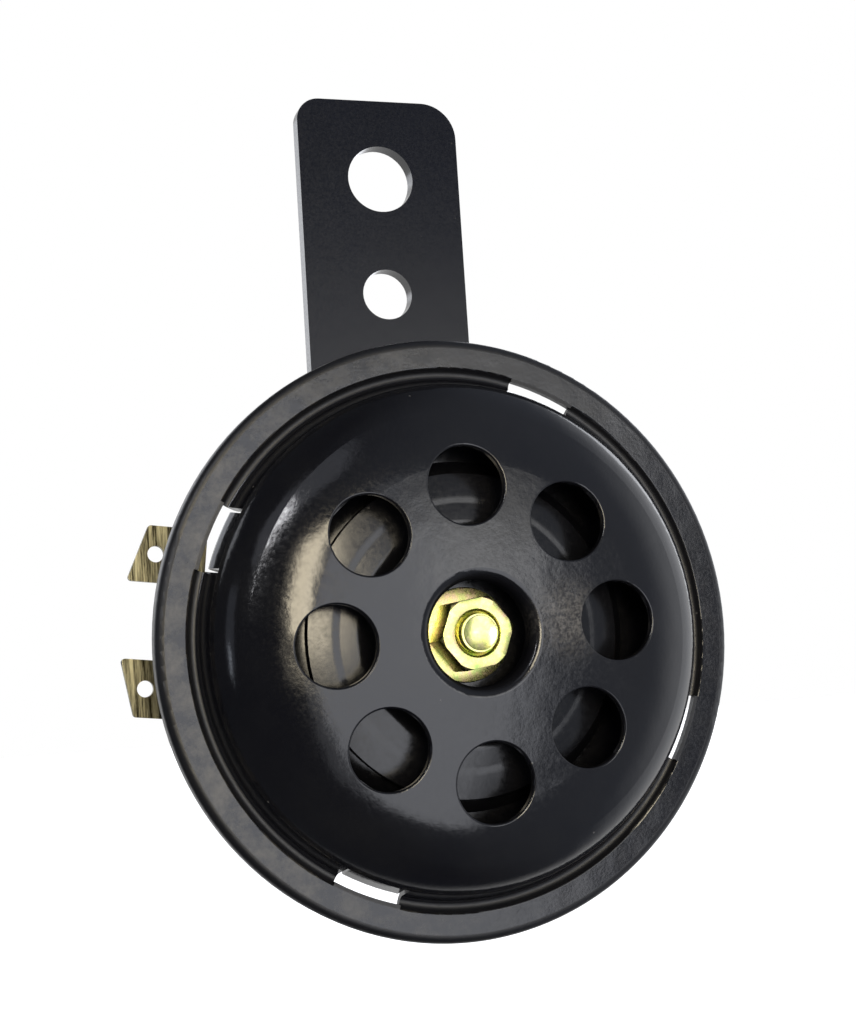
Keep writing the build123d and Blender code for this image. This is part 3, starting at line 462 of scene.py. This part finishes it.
def turned_piece(name, profile):
    """A piece turned about the horn's axis from (radius, height) pairs in mm that close on themselves."""
    bpy.ops.object.select_all(action="DESELECT")
    radius, height = profile[0]
    bpy.ops.mesh.primitive_circle_add(
        vertices=96, radius=radius * MM, location=at_height(height), rotation=(math.radians(90), 0, 0),
    )
    piece = bpy.context.object
    piece.name = name
    bpy.ops.object.transform_apply(location=True, rotation=True, scale=True)
    bpy.ops.object.mode_set(mode="EDIT")
    bpy.ops.mesh.select_all(action="SELECT")
    for next_radius, next_height in profile[1:]:
        bpy.ops.mesh.extrude_region_move(
            TRANSFORM_OT_translate={"value": (0, (height - next_height) * MM, 0)},
        )
        wider = next_radius / radius
        bpy.ops.transform.resize(value=(wider, 1, wider), center_override=at_height(next_height))
        radius, height = next_radius, next_height
    bpy.ops.mesh.select_all(action="SELECT")
    bpy.ops.mesh.remove_doubles(threshold=1e-6)
    bpy.ops.mesh.normals_make_consistent(inside=False)
    bpy.ops.object.mode_set(mode="OBJECT")
    return piece


# Tone disc: pressed from thin sheet and enamelled, with a shallow groove between two soft ridges,
# and clamped on the stud by the flange nut.
tone_enamel = enamel(
    "tone_disc_enamel", "#0c0c0f", "#131315", roughness=0.19, peel_mm=0.5, peel_height=0.004, dust=0.2,
)
dress(tone_enamel, "tone_disc")
disc_sheet = 0.8
disc_top = (
    (2.05, 2.1), (6.2, 2.1), (8.5, 2.3), (11.0, 3.3), (11.6, 3.44), (12.1, 3.42), (13.7, 3.15),
    (13.95, 3.13), (14.3, 3.13), (14.7, 3.1), (17.0, 2.72), (17.08, 2.65),
)
disc_back = [(radius, height - disc_sheet) for radius, height in reversed(disc_top)]
disc = turned_piece("pressed_tone_disc", [*disc_top, *disc_back, disc_top[0]])
bpy.ops.object.shade_smooth_by_angle(angle=math.radians(28))
disc.data.materials.append(tone_enamel)
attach(disc, "vibrator")
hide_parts("tone_disc")

# Flange nut: cold-formed steel with a shallow coned flange, a hexagon whose corners are turned
# off at the top and a countersunk bore, screwed down on the stud. Its yellow passivate has a
# green and pink cast.
yellow_zinc = plated("yellow_zinc_plate", "#d6cf86", "#b2c972", "#e2bd9f", roughness=0.28, grain_mm=0.25)
dress(yellow_zinc, "flange_nut")
nut_seat = 2.1
nut_top = 6.4
nut_flats = 7.1
nut_bore = 2.05
nut_turn = math.radians(21)
hexagon_foot = 2.45
flange = turned_piece("nut_flange", (
    (nut_bore, nut_seat), (4.95, nut_seat), (5.0, nut_seat + 0.05), (5.0, 2.38), (4.9, 2.48), (3.3, 2.72),
    (nut_bore, 2.72), (nut_bore, nut_seat),
))
blank = turned_piece("turned_blank", (
    (nut_bore, hexagon_foot), (4.3, hexagon_foot), (4.3, 6.0), (3.72, nut_top), (2.5, nut_top),
    (nut_bore, nut_top - 0.7), (nut_bore, hexagon_foot),
))
bpy.ops.object.select_all(action="DESELECT")
bpy.ops.mesh.primitive_cylinder_add(
    vertices=6, radius=nut_flats / 2 / math.cos(math.radians(30)) * MM, depth=6 * MM,
    location=at_height((nut_top + hexagon_foot) / 2), rotation=(math.radians(90), nut_turn, 0),
)
nut = bpy.context.object
nut.name = "coned_flange_nut"
bpy.ops.object.transform_apply(location=True, rotation=True, scale=True)
common = nut.modifiers.new("turned", "BOOLEAN")
common.operation = "INTERSECT"
common.solver = "EXACT"
common.object = blank
bpy.ops.object.modifier_apply(modifier="turned")
bpy.data.objects.remove(blank)
soft = nut.modifiers.new("edges", "BEVEL")
soft.width = 0.14 * MM
soft.segments = 3
soft.limit_method = "ANGLE"
soft.angle_limit = math.radians(25)
bpy.ops.object.modifier_apply(modifier="edges")
flange.select_set(True)
bpy.ops.object.join()
bpy.ops.object.shade_smooth_by_angle(angle=math.radians(30))
nut.data.materials.clear()
nut.data.materials.append(yellow_zinc)
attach(nut, "vibrator")
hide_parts("flange_nut")

# Front dish: drawn, pierced and lanced from sheet steel, then dipped and stoved. In the throat the enamel's
# reflection is faded out as painted shade, standing for the dark cavity behind the collar's lip.
dish_enamel = enamel(
    "dish_black_enamel", "#0d0d11", "#141416", roughness=0.125, peel_mm=0.4, peel_height=0.008, dust=0.4,
)
tree, shader, mm = reopen(dish_enamel)
from_axis = radius_in_mm(tree, mm)
# Painted shade: inside the throat the enamel's reflection fades to nothing
painted_throat_shade = add(
    tree, "ShaderNodeMapRange", {"interpolation_type": "SMOOTHSTEP"}, Value=from_axis,
    From_Min=5.65, From_Max=6.3, To_Min=0.0, To_Max=0.5,
)
tree.links.new(painted_throat_shade.outputs["Result"], shader.inputs["Specular IOR Level"])
# A painted highlight, broken into grains of half a millimetre, lies in a patch 11 mm across, right of the
# throat: a painted reflection of the window on the face
sheen_grain_mm = 0.45
painted_sheen_area = add(
    tree, "ShaderNodeMapRange", {"interpolation_type": "SMOOTHSTEP"},
    Value=radius_in_mm(tree, mm, right=9.6, up=1.0), From_Min=5.5, From_Max=0.5, To_Min=0.0, To_Max=1.0,
)
# Painted highlight: grainy pale colour in a patch right of the throat
sheen_grain = add(tree, "ShaderNodeTexNoise", Vector=mm, Scale=1 / sheen_grain_mm, Detail=4.0, Roughness=0.75)
grainy_sheen = add(
    tree, "ShaderNodeMapRange", Value=sheen_grain.outputs["Fac"],
    From_Min=0.42, From_Max=0.62, To_Min=0.1, To_Max=0.75,
)
painted_sheen_here = add(
    tree, "ShaderNodeMath", {"operation": "MULTIPLY"},
    i0=painted_sheen_area.outputs["Result"], i1=grainy_sheen.outputs["Result"],
)
clean = shader.inputs["Base Color"].links[0].from_socket
with_painted_sheen = add(
    tree, "ShaderNodeMix", {"data_type": "RGBA"},
    Factor=painted_sheen_here.outputs["Value"], A=clean, B=linear("#6a6660"),
)
# The flat of the rim is 2.1 mm wide, and dust lies on it in patches 2.5 mm across, painted paler towards the
# left as a painted highlight where the warm lamp lights the rim
rim_middle = 29.95
rim_patch_mm = 2.5
from_middle = add(tree, "ShaderNodeMath", {"operation": "SUBTRACT"}, i0=from_axis, i1=rim_middle)
off_middle = add(tree, "ShaderNodeMath", {"operation": "ABSOLUTE"}, i0=from_middle.outputs["Value"])
on_rim = add(
    tree, "ShaderNodeMapRange", {"interpolation_type": "SMOOTHSTEP"}, Value=off_middle.outputs["Value"],
    From_Min=1.25, From_Max=1.0, To_Min=0.0, To_Max=1.0,
)
patch = add(tree, "ShaderNodeTexNoise", Vector=mm, Scale=1 / rim_patch_mm, Detail=6.0, Roughness=0.75)
patchy = add(
    tree, "ShaderNodeMapRange", Value=patch.outputs["Fac"],
    From_Min=0.42, From_Max=0.7, To_Min=0.0, To_Max=0.5,
)
sideways = add(tree, "ShaderNodeSeparateXYZ", Vector=mm).outputs["X"]
# Painted highlight: the rim's patches grow paler towards the left side
sheen_to_left = add(
    tree, "ShaderNodeMapRange", Value=sideways, From_Min=5.0, From_Max=-25.0, To_Min=0.08, To_Max=1.0,
)
dust_and_sheen_patches = add(
    tree, "ShaderNodeMath", {"operation": "MULTIPLY"},
    i0=sheen_to_left.outputs["Result"], i1=patchy.outputs["Result"],
)
rim_dust_and_sheen = add(
    tree, "ShaderNodeMath", {"operation": "MULTIPLY"},
    i0=on_rim.outputs["Result"], i1=dust_and_sheen_patches.outputs["Value"],
)
with_rim_dust_and_sheen = add(
    tree, "ShaderNodeMix", {"data_type": "RGBA"},
    Factor=rim_dust_and_sheen.outputs["Value"], A=with_painted_sheen.outputs["Result"], B=linear("#6f6a5e"),
)
tree.links.new(with_rim_dust_and_sheen.outputs["Result"], shader.inputs["Base Color"])
# The enamel is rougher where the sheet is drawn round the rim's edges and in its groove
drawn = add(
    tree, "ShaderNodeMapRange", {"interpolation_type": "SMOOTHSTEP"}, Value=off_middle.outputs["Value"],
    From_Min=1.0, From_Max=1.2, To_Min=0.0, To_Max=0.28,
)
rim_reach = 2.1
near_rim = add(tree, "ShaderNodeMath", {"operation": "LESS_THAN"}, i0=off_middle.outputs["Value"], i1=rim_reach)
drawn_here = add(
    tree, "ShaderNodeMath", {"operation": "MULTIPLY"},
    i0=drawn.outputs["Result"], i1=near_rim.outputs["Value"],
)
gloss = shader.inputs["Roughness"].links[0].from_socket
rougher = add(tree, "ShaderNodeMath", {"operation": "ADD"}, i0=gloss, i1=drawn_here.outputs["Value"])
tree.links.new(rougher.outputs["Value"], shader.inputs["Roughness"])
dress(dish_enamel, "front_dish")
